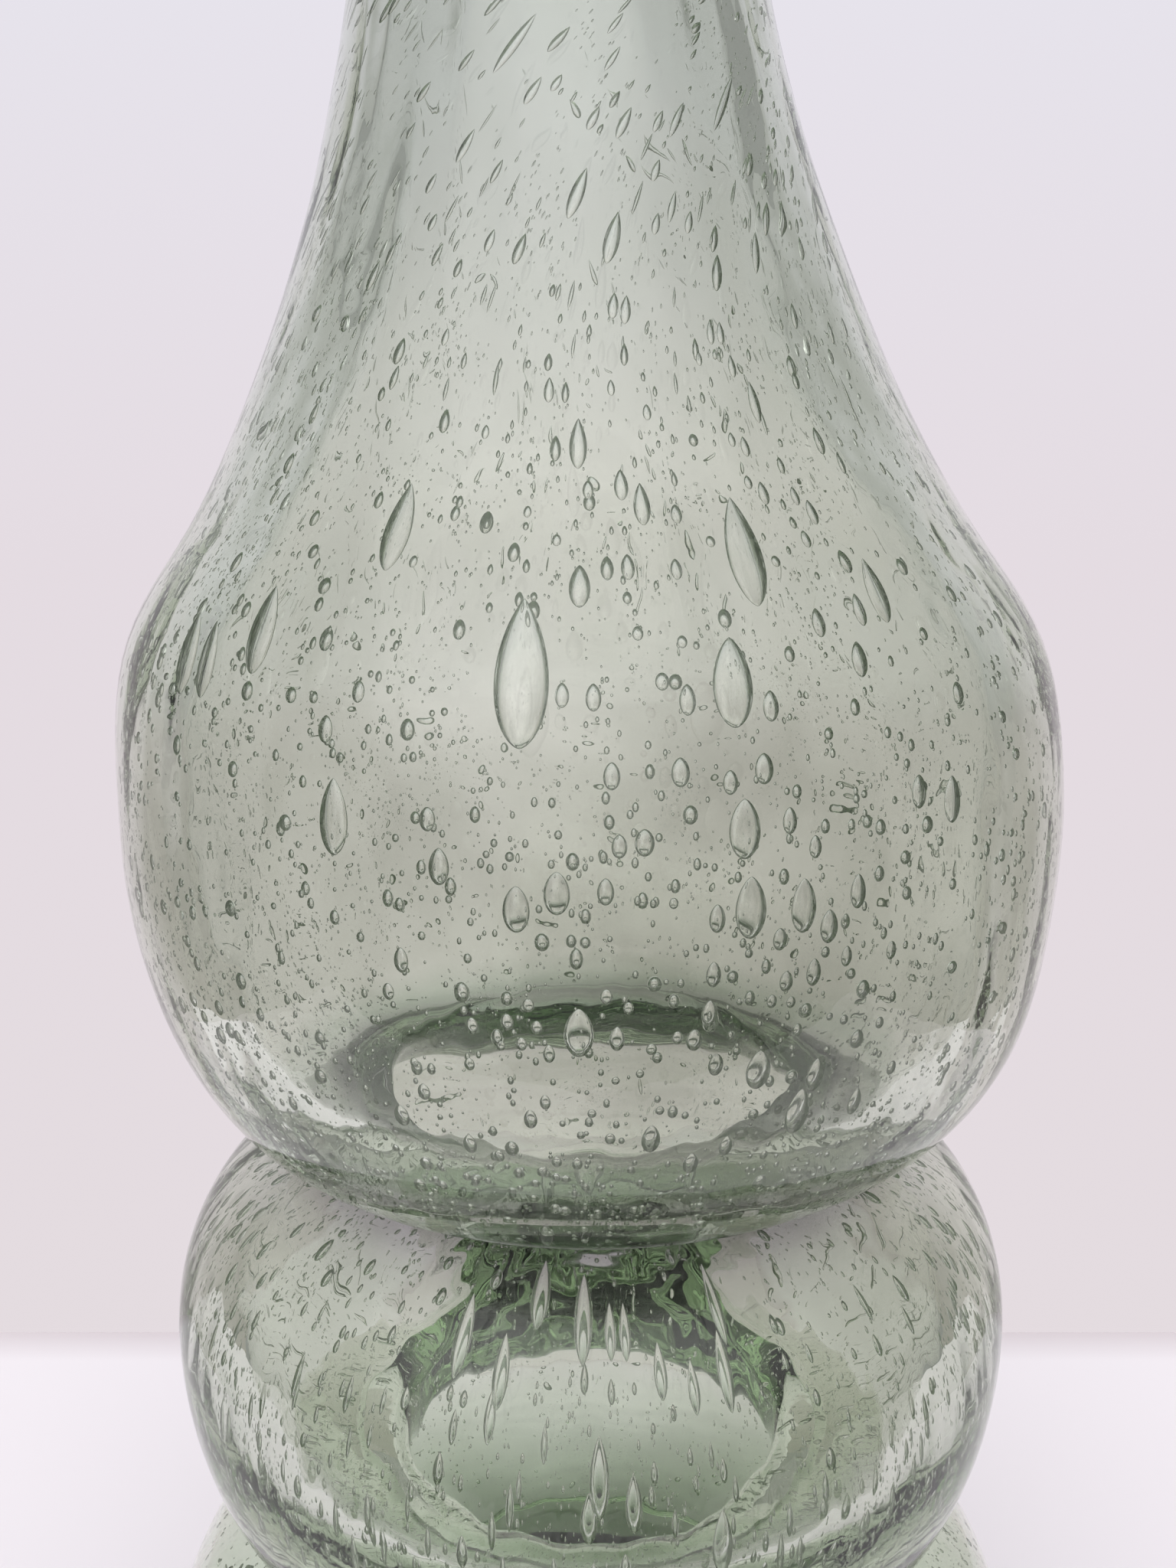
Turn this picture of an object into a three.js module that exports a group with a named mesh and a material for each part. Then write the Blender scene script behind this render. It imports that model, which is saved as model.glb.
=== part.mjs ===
// Bud vase of bubbled blown glass: three bulbs stuck one above the other, with a drawn neck.
// Millimetres, +Z up, origin at the centre of the foot's resting face.
// Every section is turned about the vase's axis from an outer and an inner profile in (radius, height).
import * as THREE from 'three';
import { mergeVertices } from 'three/addons/utils/BufferGeometryUtils.js';

// Whole height, and the heights of the sections stacked from the resting face up. The neck takes what is left.
const HEIGHT = 200;
const FOOT_HEIGHT = 5;
const BASE_HEIGHT = 37;
const MIDDLE_HEIGHT = 32;
const UPPER_BOTTOM_HEIGHT = 27;
const SHOULDER_RISE = 19.2;
const FLARE_RISE = 21.5;
const LIP_HEIGHT = 7;

// Where a bulb is widest, as a share of its height.
const BASE_WIDEST = 0.514;
const MIDDLE_WIDEST = 0.581;

// Outer radii, and how far the foot's edge and the lip stand out.
const SEAT_RADIUS = 23.6;
const FOOT_EDGE = 1.4;
const BASE_RADIUS = 36.8;
const LOWER_CREASE_RADIUS = 21.5;
const MIDDLE_RADIUS = 33.7;
const UPPER_CREASE_RADIUS = 21.3;
const UPPER_RADIUS = 36;
const SHOULDER_RADIUS = 30.5;
const THROAT_RADIUS = 14.5;
const NECK_TOP_RADIUS = 16.4;
const LIP_EDGE = 1.8;

// Glass thickness, and the holes through the two thick rings where the bulbs were nipped in.
const WALL = 4.4;
const SHOULDER_WALL = 5.3;
const NECK_WALL = 4.4;
const LOWER_HOLE_RADIUS = 16.5;
const UPPER_HOLE_RADIUS = 16.4;
const UPPER_RIM_RISE = 1.6;
const LOWER_RIM_RISE = 1.8;
const BASE_HOLLOW_RISE = 1.8;
const FLOOR_THICKNESS = 8;
const FLOOR_KICK = 2.5;
const FLOOR_RUN = 0.72;
const PONTIL_RADIUS = 9;
const PONTIL_DEPTH = 1;

// Fullness of each half bulb: 1 arrives level at the crease, more slopes to it, less turns under before it.
const BASE_BOTTOM_FULLNESS = 1.5;
const BASE_TOP_FULLNESS = 0.98;
const MIDDLE_BOTTOM_FULLNESS = 0.98;
const MIDDLE_TOP_FULLNESS = 0.93;
const UPPER_BOTTOM_FULLNESS = 1.03;

// Shoulder line: its slope from upright, and how far each curve runs on before it turns.
const SHOULDER_SLOPE = THREE.MathUtils.degToRad(34.4);
const BULB_RUN = 0.61;
const SHOULDER_RUN = 0.34;
const NECK_START_RUN = 0.21;
const NECK_END_RUN = 0.34;

// How far each hollow keeps to its wall before it turns in to a hole, and how straight the hole's edge is.
const UPPER_FLOOR_RUN = 0.96;
const UPPER_FLOOR_EDGE = 0.07;
const MIDDLE_ROOF_RUN = 0.85;
const MIDDLE_ROOF_EDGE = 0.14;
const MIDDLE_FLOOR_RUN = 0.72;
const MIDDLE_FLOOR_EDGE = 0.28;
const BASE_ROOF_RUN = 0.55;
const BASE_ROOF_EDGE = 0.45;

// The neck leans to one side, starting from the widest ring of the upper bulb.
const LEAN = 4.3;
const LEAN_BEND = 1.15;

// The hole of the upper ring sits a little high and tilts up at the back, fading out over a short reach.
const RIM_LIFT = 2;
const RIM_TILT = 3.2;
const RIM_REACH = 12;

// The right side of the upper bulb is fuller just above the crease.
const SIDE_BULGE = 1.6;
const SIDE_BULGE_RISE = 6;
const SIDE_BULGE_SPREAD = 10;

// Facets round the axis, and along each curve of a profile.
const SIDES = 40;
const CURVE_STEPS = 7;
const EDGE_STEPS = 4;

// Seams and widest rings, worked out from the sizes above.
const FOOT_TOP = FOOT_HEIGHT;
const FOOT_RADIUS = SEAT_RADIUS + FOOT_EDGE;
const BASE_EQUATOR_Z = FOOT_TOP + BASE_WIDEST * BASE_HEIGHT;
const LOWER_CREASE_Z = FOOT_TOP + BASE_HEIGHT;
const MIDDLE_EQUATOR_Z = LOWER_CREASE_Z + MIDDLE_WIDEST * MIDDLE_HEIGHT;
const UPPER_CREASE_Z = LOWER_CREASE_Z + MIDDLE_HEIGHT;
const UPPER_EQUATOR_Z = UPPER_CREASE_Z + UPPER_BOTTOM_HEIGHT;
const SHOULDER_Z = UPPER_EQUATOR_Z + SHOULDER_RISE;
const NECK_TOP = HEIGHT - LIP_HEIGHT;
const THROAT_Z = NECK_TOP - FLARE_RISE;
const LIP_RADIUS = NECK_TOP_RADIUS + LIP_EDGE;

// Half of a bulb's outside: part of an ellipse, upright at the widest ring and ending at the crease.
function halfBulb(radius, equatorZ, endRadius, endZ, fullness) {
  const across = fullness * (radius - endRadius);
  const turn = Math.acos(1 - 1 / fullness);
  const up = Math.abs(endZ - equatorZ) / Math.sin(turn);
  const sign = Math.sign(endZ - equatorZ);
  const points = [];
  for (let i = 0; i <= CURVE_STEPS; i += 1) {
    const angle = turn * i / CURVE_STEPS;
    const r = radius - across + across * Math.cos(angle);
    const z = i === CURVE_STEPS ? endZ : equatorZ + sign * up * Math.sin(angle);
    points.push(new THREE.Vector2(i === CURVE_STEPS ? endRadius : r, z));
  }
  return points;
}

// Smooth curve between two points that leaves and arrives along the given handles.
function sweep(from, leave, arrive, to, steps = CURVE_STEPS) {
  const start = from.clone().add(leave);
  const end = to.clone().sub(arrive);
  return new THREE.CubicBezierCurve(from, start, end, to).getPoints(steps);
}

// Side of a hollow between its widest ring and a hole, upright at both ends.
function cavitySide(wideRadius, wideZ, holeRadius, holeZ, wallRun, edgeRun) {
  const rise = holeZ - wideZ;
  const wide = new THREE.Vector2(wideRadius, wideZ);
  const hole = new THREE.Vector2(holeRadius, holeZ);
  return sweep(wide, new THREE.Vector2(0, wallRun * rise), new THREE.Vector2(0, edgeRun * rise), hole);
}

// Line of the shoulder and neck from the upper bulb's widest ring to the throat, set in by the glass thickness.
function shoulderAndNeck(wall, shoulderWall, neckWall) {
  const slope = new THREE.Vector2(-Math.sin(SHOULDER_SLOPE), Math.cos(SHOULDER_SLOPE));
  const widest = new THREE.Vector2(UPPER_RADIUS - wall, UPPER_EQUATOR_Z);
  const shoulder = new THREE.Vector2(SHOULDER_RADIUS, SHOULDER_Z);
  shoulder.x -= shoulderWall * Math.cos(SHOULDER_SLOPE);
  shoulder.y -= shoulderWall * Math.sin(SHOULDER_SLOPE);
  const throat = new THREE.Vector2(THROAT_RADIUS - neckWall, THROAT_Z);
  const bulbRise = shoulder.y - widest.y;
  const neckRise = throat.y - shoulder.y;
  const bulb = sweep(
    widest,
    new THREE.Vector2(0, BULB_RUN * bulbRise),
    slope.clone().multiplyScalar(SHOULDER_RUN * bulbRise),
    shoulder,
  );
  const neck = sweep(
    shoulder,
    slope.clone().multiplyScalar(NECK_START_RUN * neckRise),
    new THREE.Vector2(0, NECK_END_RUN * neckRise),
    throat,
  );
  return [...bulb, ...neck.slice(1)];
}

// Top of the neck, opening a little from the throat to the lip.
function neckFlare(wall) {
  const rise = NECK_TOP - THROAT_Z;
  const throat = new THREE.Vector2(THROAT_RADIUS - wall, THROAT_Z);
  const top = new THREE.Vector2(NECK_TOP_RADIUS - wall, NECK_TOP);
  const flare = 2 * (NECK_TOP_RADIUS - THROAT_RADIUS) / rise;
  const arrive = new THREE.Vector2(flare, 1).multiplyScalar(rise / 3);
  return sweep(throat, new THREE.Vector2(0, rise / 3), arrive, top, EDGE_STEPS);
}

function footProfile() {
  const points = [];
  const bowl = (PONTIL_RADIUS ** 2 + PONTIL_DEPTH ** 2) / (2 * PONTIL_DEPTH);
  for (let i = 0; i <= EDGE_STEPS; i += 1) {
    const r = PONTIL_RADIUS * i / EDGE_STEPS;
    const z = i === EDGE_STEPS ? 0 : PONTIL_DEPTH - bowl + Math.sqrt(bowl ** 2 - r ** 2);
    points.push(new THREE.Vector2(r, z));
  }
  const round = FOOT_TOP / 2;
  for (let i = 0; i <= CURVE_STEPS; i += 1) {
    const angle = -Math.PI / 2 + Math.PI * i / CURVE_STEPS;
    const inset = angle < 0 ? round : FOOT_RADIUS - SEAT_RADIUS;
    const r = FOOT_RADIUS - inset + inset * Math.cos(angle);
    const z = i === CURVE_STEPS ? FOOT_TOP : Math.max(0, round + round * Math.sin(angle));
    points.push(new THREE.Vector2(i === CURVE_STEPS ? SEAT_RADIUS : r, z));
  }
  points.push(new THREE.Vector2(0, FOOT_TOP));
  return points;
}

function baseProfile() {
  const floor = new THREE.Vector2(0, FOOT_TOP + FLOOR_THICKNESS + FLOOR_KICK);
  const inner = new THREE.Vector2(BASE_RADIUS - WALL, BASE_EQUATOR_Z + BASE_HOLLOW_RISE);
  const floorSide = sweep(
    inner,
    new THREE.Vector2(0, FLOOR_RUN * (FOOT_TOP + FLOOR_THICKNESS - inner.y)),
    new THREE.Vector2(-FLOOR_RUN * inner.x, FLOOR_KICK),
    floor,
  );
  const hollow = cavitySide(inner.x, inner.y, LOWER_HOLE_RADIUS, LOWER_CREASE_Z, BASE_ROOF_RUN, BASE_ROOF_EDGE);
  return [
    new THREE.Vector2(0, FOOT_TOP),
    ...halfBulb(BASE_RADIUS, BASE_EQUATOR_Z, SEAT_RADIUS, FOOT_TOP, BASE_BOTTOM_FULLNESS).reverse(),
    ...halfBulb(BASE_RADIUS, BASE_EQUATOR_Z, LOWER_CREASE_RADIUS, LOWER_CREASE_Z, BASE_TOP_FULLNESS).slice(1),
    ...hollow.reverse(),
    ...floorSide.slice(1),
  ];
}

function middleProfile() {
  const wide = MIDDLE_RADIUS - WALL;
  const lowerRim = LOWER_CREASE_Z + LOWER_RIM_RISE;
  const roof = cavitySide(
    wide,
    MIDDLE_EQUATOR_Z,
    UPPER_HOLE_RADIUS,
    UPPER_CREASE_Z,
    MIDDLE_ROOF_RUN,
    MIDDLE_ROOF_EDGE,
  );
  const floor = cavitySide(
    wide,
    MIDDLE_EQUATOR_Z,
    LOWER_HOLE_RADIUS,
    lowerRim,
    MIDDLE_FLOOR_RUN,
    MIDDLE_FLOOR_EDGE,
  );
  const bottom = halfBulb(
    MIDDLE_RADIUS,
    MIDDLE_EQUATOR_Z,
    LOWER_CREASE_RADIUS,
    LOWER_CREASE_Z,
    MIDDLE_BOTTOM_FULLNESS,
  );
  const top = halfBulb(
    MIDDLE_RADIUS,
    MIDDLE_EQUATOR_Z,
    UPPER_CREASE_RADIUS,
    UPPER_CREASE_Z,
    MIDDLE_TOP_FULLNESS,
  );
  return [
    ...bottom.reverse(),
    ...top.slice(1),
    ...roof.reverse(),
    ...floor.slice(1),
    new THREE.Vector2(LOWER_HOLE_RADIUS, LOWER_CREASE_Z),
    new THREE.Vector2(LOWER_CREASE_RADIUS, LOWER_CREASE_Z),
  ];
}

function upperProfile() {
  const upperRim = UPPER_CREASE_Z + UPPER_RIM_RISE;
  const floor = cavitySide(
    UPPER_RADIUS - WALL,
    UPPER_EQUATOR_Z,
    UPPER_HOLE_RADIUS,
    upperRim,
    UPPER_FLOOR_RUN,
    UPPER_FLOOR_EDGE,
  );
  const bottom = halfBulb(
    UPPER_RADIUS,
    UPPER_EQUATOR_Z,
    UPPER_CREASE_RADIUS,
    UPPER_CREASE_Z,
    UPPER_BOTTOM_FULLNESS,
  );
  return [
    ...bottom.reverse(),
    ...shoulderAndNeck(0, 0, 0).slice(1),
    ...neckFlare(0).slice(1),
    ...neckFlare(NECK_WALL).reverse(),
    ...shoulderAndNeck(WALL, SHOULDER_WALL, NECK_WALL).reverse().slice(1),
    ...floor.slice(1),
    new THREE.Vector2(UPPER_HOLE_RADIUS, UPPER_CREASE_Z),
    new THREE.Vector2(UPPER_CREASE_RADIUS, UPPER_CREASE_Z),
  ];
}

// Rounded wrap of glass round the mouth.
function lipProfile() {
  const mouth = NECK_TOP_RADIUS - NECK_WALL;
  const middle = (LIP_RADIUS + mouth) / 2;
  const half = (HEIGHT - NECK_TOP) / 2;
  const points = [new THREE.Vector2(mouth, NECK_TOP), new THREE.Vector2(NECK_TOP_RADIUS, NECK_TOP)];
  for (let i = 0; i <= 2 * EDGE_STEPS; i += 1) {
    const angle = Math.PI * i / (2 * EDGE_STEPS);
    const r = middle + (LIP_RADIUS - middle) * Math.cos(angle);
    points.push(new THREE.Vector2(r, NECK_TOP + half + half * Math.sin(angle)));
  }
  points.push(new THREE.Vector2(mouth, NECK_TOP));
  return points;
}

function glass() {
  return new THREE.MeshStandardMaterial({
    name: 'bubbled_glass',
    color: 0xbfcdbd,
    roughness: 0.06,
    metalness: 0,
  });
}

// Cuts each face between two rings from the wider ring forward to the narrower one, so that two sections
// meet along the same lines on a seam that isn't flat.
function alignCuts(geometry) {
  const index = geometry.index;
  const place = geometry.attributes.position;
  const radius = (corner) => Math.hypot(place.getX(corner), place.getY(corner));
  for (let i = 0; i < index.count; i += 6) {
    const first = index.getX(i);
    const below = index.getX(i + 2);
    const across = index.getX(i + 3);
    if (radius(first) > radius(below)) {
      index.setX(i + 2, across);
      index.setX(i + 3, first);
      index.setX(i + 4, across);
      index.setX(i + 5, below);
    }
  }
}

// Sideways offset of a point: the lean above the upper bulb's widest ring, and the fuller right side.
function sideways(x, z) {
  const along = Math.max(0, (z - UPPER_EQUATOR_Z) / (HEIGHT - UPPER_EQUATOR_Z));
  const level = (z - UPPER_CREASE_Z - SIDE_BULGE_RISE) / SIDE_BULGE_SPREAD;
  const bulge = SIDE_BULGE * (Math.max(0, x) / UPPER_RADIUS) ** 2 * Math.exp(-(level ** 2));
  return bulge - LEAN * along ** LEAN_BEND;
}

// Rise of the glass round the upper ring's hole: full at the hole's edge, none at the crease.
function rimRise(x, y, z) {
  const r = Math.hypot(x, y);
  const inward = (UPPER_CREASE_RADIUS - r) / (UPPER_CREASE_RADIUS - UPPER_HOLE_RADIUS);
  const near = 1 - Math.abs(z - UPPER_CREASE_Z) / RIM_REACH;
  if (inward <= 0 || near <= 0) return 0;
  return (RIM_LIFT + RIM_TILT * y / r) * Math.min(1, inward) * near;
}

// Turns a profile about the axis and pushes the turned glass out of true as a maker's hand does.
function section(name, profile) {
  const turned = new THREE.LatheGeometry(profile, SIDES);
  turned.rotateX(Math.PI / 2);
  turned.deleteAttribute('uv');
  turned.deleteAttribute('normal');
  alignCuts(turned);
  const geometry = mergeVertices(turned, 1e-4);
  const place = geometry.attributes.position;
  for (let i = 0; i < place.count; i += 1) {
    const x = place.getX(i);
    const y = place.getY(i);
    const z = place.getZ(i);
    place.setX(i, x + sideways(x, z));
    place.setZ(i, z + rimRise(x, y, z));
  }
  geometry.computeVertexNormals();
  const mesh = new THREE.Mesh(geometry, glass());
  mesh.name = name;
  return mesh;
}

const vase = new THREE.Group();
vase.name = 'bud_vase';
vase.add(section('foot_pad', footProfile()));
vase.add(section('base_bulb', baseProfile()));
vase.add(section('middle_bulb', middleProfile()));
vase.add(section('upper_bulb', upperProfile()));
vase.add(section('lip_wrap', lipProfile()));
export default vase;
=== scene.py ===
import math

import bpy
import numpy as np
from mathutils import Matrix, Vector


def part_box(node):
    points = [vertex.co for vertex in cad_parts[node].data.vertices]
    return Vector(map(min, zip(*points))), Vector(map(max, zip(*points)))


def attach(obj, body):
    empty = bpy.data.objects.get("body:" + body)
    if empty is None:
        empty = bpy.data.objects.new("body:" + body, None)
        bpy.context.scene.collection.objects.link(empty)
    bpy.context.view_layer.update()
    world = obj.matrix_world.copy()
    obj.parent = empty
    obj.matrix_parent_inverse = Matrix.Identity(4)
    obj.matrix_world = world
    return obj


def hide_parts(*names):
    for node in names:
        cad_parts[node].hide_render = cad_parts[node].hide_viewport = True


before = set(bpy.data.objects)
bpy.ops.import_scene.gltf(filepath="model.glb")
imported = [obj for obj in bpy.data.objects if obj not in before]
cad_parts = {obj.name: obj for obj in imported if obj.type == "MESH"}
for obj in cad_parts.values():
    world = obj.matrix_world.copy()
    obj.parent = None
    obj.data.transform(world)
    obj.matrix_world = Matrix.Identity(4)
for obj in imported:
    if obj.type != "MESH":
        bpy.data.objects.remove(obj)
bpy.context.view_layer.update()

MM = 0.001
SECTIONS = ("foot_pad", "base_bulb", "middle_bulb", "upper_bulb", "lip_wrap")


def grey(level):
    """Grey colour of the given level."""
    return (level, level, level)


CLEAR = grey(1.0)


def node_top(node):
    """Height of a CAD node's highest point in millimetres."""
    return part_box(node)[1].z / MM


def node_radius(node):
    """Largest radius of a CAD node in millimetres, from its width along Y, which the lean leaves alone."""
    low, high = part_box(node)
    return (high.y - low.y) / 2 / MM


# Heights in millimetres: some are read from the parts in model.glb, the rest repeat the model's own values.
FOOT_TOP = node_top("foot_pad")
BASE_EQUATOR_Z = 24.018
LOWER_CREASE_Z = 42.0
MIDDLE_EQUATOR_Z = 60.592
UPPER_CREASE_Z = 74.0
UPPER_EQUATOR_Z = 101.0
SHOULDER_Z = 120.2
THROAT_Z = 171.5
NECK_TOP = node_top("upper_bulb")
HEIGHT = node_top("lip_wrap")

# Outer radii.
FOOT_RADIUS = 24.9
SEAT_RADIUS = 23.6
BASE_RADIUS = node_radius("base_bulb")
LOWER_CREASE_RADIUS = 21.5
MIDDLE_RADIUS = node_radius("middle_bulb")
UPPER_CREASE_RADIUS = 21.3
UPPER_RADIUS = node_radius("upper_bulb")
SHOULDER_RADIUS = 30.5
THROAT_RADIUS = 14.5
NECK_TOP_RADIUS = 16.4
LIP_RADIUS = node_radius("lip_wrap")

# Glass thickness and the holes through the two thick rings between the bulbs.
WALL = 4.4
SHOULDER_WALL = 5.3
NECK_WALL = 4.4
LOWER_HOLE_RADIUS = 16.5
UPPER_HOLE_RADIUS = 16.4
UPPER_RIM_RISE = 1.6
LOWER_RIM_RISE = 1.8
BASE_HOLLOW_RISE = 1.8
FLOOR_THICKNESS = 8.0
FLOOR_KICK = 2.5
FLOOR_RUN = 0.72
PONTIL_RADIUS = 9.0
PONTIL_DEPTH = 1.0

# Fullness of each half bulb, and how far each curve runs on before it turns.
BASE_BOTTOM_FULLNESS = 1.5
BASE_TOP_FULLNESS = 0.98
MIDDLE_BOTTOM_FULLNESS = 0.98
MIDDLE_TOP_FULLNESS = 0.93
UPPER_BOTTOM_FULLNESS = 1.03
SHOULDER_SLOPE = math.radians(34.4)
BULB_RUN = 0.61
SHOULDER_RUN = 0.34
NECK_START_RUN = 0.21
NECK_END_RUN = 0.34
UPPER_FLOOR_RUNS = (0.96, 0.07)
MIDDLE_ROOF_RUNS = (0.85, 0.14)
MIDDLE_FLOOR_RUNS = (0.72, 0.28)
BASE_ROOF_RUNS = (0.55, 0.45)

# Hand-made unevenness: the neck's lean, the lifted and tilted rim of the waist's hole, the swell of one side.
LEAN = 4.3
LEAN_BEND = 1.15
RIM_LIFT = 2.0
RIM_TILT = 3.2
RIM_REACH = 12.0
SIDE_BULGE = 1.6
SIDE_BULGE_RISE = 6.0
SIDE_BULGE_SPREAD = 10.0

# The photograph: its frame, the lens in pixels, and where the camera stood (millimetres, degrees).
PHOTO_WIDTH = 1536
PHOTO_HEIGHT = 2048
FOCAL_PIXELS = 1540.0
CAMERA_X = -0.2
CAMERA_Y = -95.5
CAMERA_Z = 115.0
CAMERA_PITCH = math.radians(8.0)
SENSOR = 36.0

# The skin of glass: its index of refraction, its mesh, the rounding of its creases by an average over so many
# steps each way, and how much closer its rings are where it bends.
GLASS_IOR = 1.52
CURVE_POINTS = 120
SKIN_SIDES = 260
SKIN_RINGS = 370
CREASE_ROUNDING = 0.45
ROUNDING_STEPS = 4
ROUNDING_REACH = 20
BEND_WEIGHT = 5.0
BEND_MOST = 1.2
SEED = 41

# Waves in its faces: their depth, and for each kind the number of sine waves, the range of their turns round
# the glass and their steepest climb in radians a millimetre. A sum at the peak counts as the full depth.
INNER_WAVE = 0.35
INNER_CORD = 0.1
OUTER_WAVE = 0.1
INNER_WAVES = (12, (1, 12), 0.35)
INNER_CORDS = (16, (14, 32), 0.3)
OUTER_WAVES = (9, (1, 12), 0.35)
WAVE_PEAK = 1.6

# Where the waves grow: out from the axis, up from the foot, and from a share to the full above the waist.
WAVE_RADII = (2.4, 10.4)
WAVE_FOOT = (0.6, 2.6)
WAVE_WAIST = (UPPER_CREASE_Z + 1, UPPER_CREASE_Z + 15)
LOW_WAVE_SHARE = 0.2

# The drawn neck was twisted: above a height bubbles lean over by so many degrees a millimetre, up to a most.
TWIST_START_Z = 128.0
TWIST_RATE = 1.5
TWIST_MOST = 38.0

# Bubbles that can be told apart in the photograph: pixel across, pixel down, length and width in millimetres.
SEEN_BUBBLES = [
    (681, 878, 8.0, 2.9), (971, 718, 7.3, 2.1), (521, 687, 6.0, 1.7), (957, 891, 4.8, 2.2),
    (435, 1067, 4.2, 1.8), (973, 1083, 3.2, 1.75), (981, 1186, 3.4, 1.75), (1050, 1183, 3.0, 1.5),
    (674, 1188, 2.5, 1.45), (727, 1167, 2.3, 1.4), (756, 1350, 2.9, 1.6), (991, 1398, 2.5, 1.45),
    (1042, 1452, 3.2, 1.5), (573, 1132, 2.0, 1.15), (343, 821, 5.3, 1.9), (246, 852, 5.0, 1.9),
    (271, 860, 4.6, 1.6), (755, 579, 3.4, 1.0), (811, 633, 2.1, 0.8), (838, 658, 2.9, 0.95),
    (757, 765, 2.6, 1.15), (1143, 770, 4.2, 1.4), (1122, 861, 2.0, 1.0), (1122, 796, 2.0, 0.8),
    (1069, 813, 1.7, 0.8), (768, 639, 1.25, 0.62), (883, 671, 1.3, 0.65), (883, 743, 1.35, 0.65),
    (820, 740, 1.65, 0.75), (717, 509, 1.7, 0.6), (985, 525, 2.9, 0.7), (801, 399, 1.8, 0.65),
    (817, 404, 2.0, 0.65), (928, 434, 1.7, 0.5), (941, 435, 1.6, 0.5), (956, 478, 1.6, 0.5),
    (913, 468, 1.0, 0.4), (997, 644, 1.6, 0.65), (973, 583, 1.4, 0.55), (956, 574, 1.0, 0.45),
    (1060, 669, 1.75, 0.7), (1038, 648, 1.3, 0.55), (1052, 704, 1.2, 0.6), (845, 538, 1.1, 0.5),
    (798, 506, 1.1, 0.45), (727, 705, 0.8, 0.5), (689, 668, 0.8, 0.45), (634, 564, 0.95, 0.45),
    (582, 440, 1.2, 0.45), (540, 733, 0.8, 0.5), (977, 630, 0.95, 0.5), (928, 707, 0.75, 0.55),
    (1013, 733, 0.75, 0.55), (865, 890, 0.95, 0.75), (833, 827, 0.8, 0.6), (891, 838, 0.7, 0.55),
    (775, 911, 1.45, 0.83), (734, 908, 1.3, 0.75), (898, 914, 1.65, 0.9), (1007, 922, 1.65, 0.9),
    (799, 1014, 1.45, 0.9), (889, 1009, 1.55, 1.0), (998, 1004, 1.65, 1.05), (954, 1022, 1.3, 0.83),
    (842, 1101, 1.45, 1.05), (809, 1106, 1.25, 0.83), (1032, 1072, 1.45, 0.83), (1065, 1106, 1.25, 0.75),
    (791, 1165, 1.45, 0.9), (1083, 1210, 1.9, 1.1), (1121, 1164, 1.95, 1.0), (937, 1200, 1.55, 0.9),
    (1019, 1227, 1.25, 0.83), (1063, 1270, 1.6, 0.9), (932, 1273, 1.45, 0.83), (524, 1254, 1.45, 0.85),
    (558, 1070, 1.3, 0.9), (425, 952, 1.5, 0.9), (468, 903, 1.2, 0.75), (1244, 1044, 2.7, 1.4),
    (1201, 1034, 1.9, 1.1), (927, 1324, 1.55, 0.9), (907, 1359, 1.3, 0.9), (806, 1357, 1.45, 0.83),
    (717, 1377, 1.1, 0.65), (693, 1462, 1.3, 0.75), (850, 1488, 2.0, 1.05), (525, 1457, 1.5, 0.95),
    (754, 252, 3.7, 0.85), (800, 310, 3.7, 0.95), (672, 56, 4.6, 0.7), (608, 190, 2.4, 0.6),
    (815, 160, 2.5, 0.6), (775, 154, 1.8, 0.55), (696, 118, 2.1, 0.6), (727, 108, 1.3, 0.5),
    (640, 314, 1.6, 0.55), (565, 290, 1.2, 0.5), (563, 239, 1.4, 0.5), (800, 76, 2.1, 0.4),
    (804, 30, 1.9, 0.35), (878, 270, 2.4, 0.45), (857, 292, 1.6, 0.5), (900, 290, 1.7, 0.5),
    (884, 156, 2.9, 0.5), (860, 158, 1.8, 0.45), (857, 222, 1.7, 0.5), (987, 330, 3.2, 0.6),
    (945, 134, 5.2, 0.55), (783, 1930, 4.6, 1.2), (828, 1964, 3.4, 1.0), (944, 2014, 4.2, 1.25),
    (762, 1720, 5.6, 1.15), (707, 1688, 4.6, 1.15), (862, 1790, 3.2, 0.8), (640, 1850, 3.0, 0.7),
    (797, 1738, 3.4, 0.7), (816, 1739, 3.4, 0.7), (606, 1742, 5.0, 1.1), (655, 1790, 4.2, 1.0),
    (932, 1700, 5.2, 0.8), (946, 1790, 4.6, 0.9), (906, 1812, 3.0, 0.7), (769, 1984, 3.0, 1.0),
    (507, 1295, 1.0, 0.7), (792, 1302, 0.9, 0.7), (821, 1317, 0.7, 0.55), (662, 1335, 1.0, 0.7),
    (690, 1313, 0.8, 0.65), (701, 1342, 0.8, 0.6), (681, 1364, 0.8, 0.6), (654, 1366, 0.6, 0.5),
    (616, 1340, 1.0, 0.7), (613, 1390, 0.8, 0.6), (554, 1426, 1.1, 0.75), (541, 1388, 0.6, 0.5),
    (614, 1494, 1.4, 0.8), (652, 1510, 0.9, 0.6), (712, 1440, 1.0, 0.6), (708, 1531, 0.8, 0.6),
    (727, 1518, 0.8, 0.6), (754, 1520, 1.0, 0.6), (797, 1488, 0.8, 0.6), (773, 1455, 0.6, 0.5),
    (804, 1412, 0.5, 0.45), (836, 1403, 0.55, 0.45), (851, 1371, 0.7, 0.6), (862, 1451, 0.6, 0.5),
    (935, 1391, 1.4, 0.85), (885, 1356, 0.8, 0.6), (1065, 1404, 2.2, 1.1), (948, 1497, 1.5, 0.8),
    (902, 1520, 1.6, 0.9), (1116, 1439, 1.9, 0.9), (1027, 1282, 1.2, 0.8), (1106, 1249, 1.2, 0.7),
    (1164, 1241, 1.1, 0.7), (1008, 1308, 0.8, 0.6), (1033, 1309, 0.7, 0.55), (880, 1180, 0.6, 0.5),
]

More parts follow.
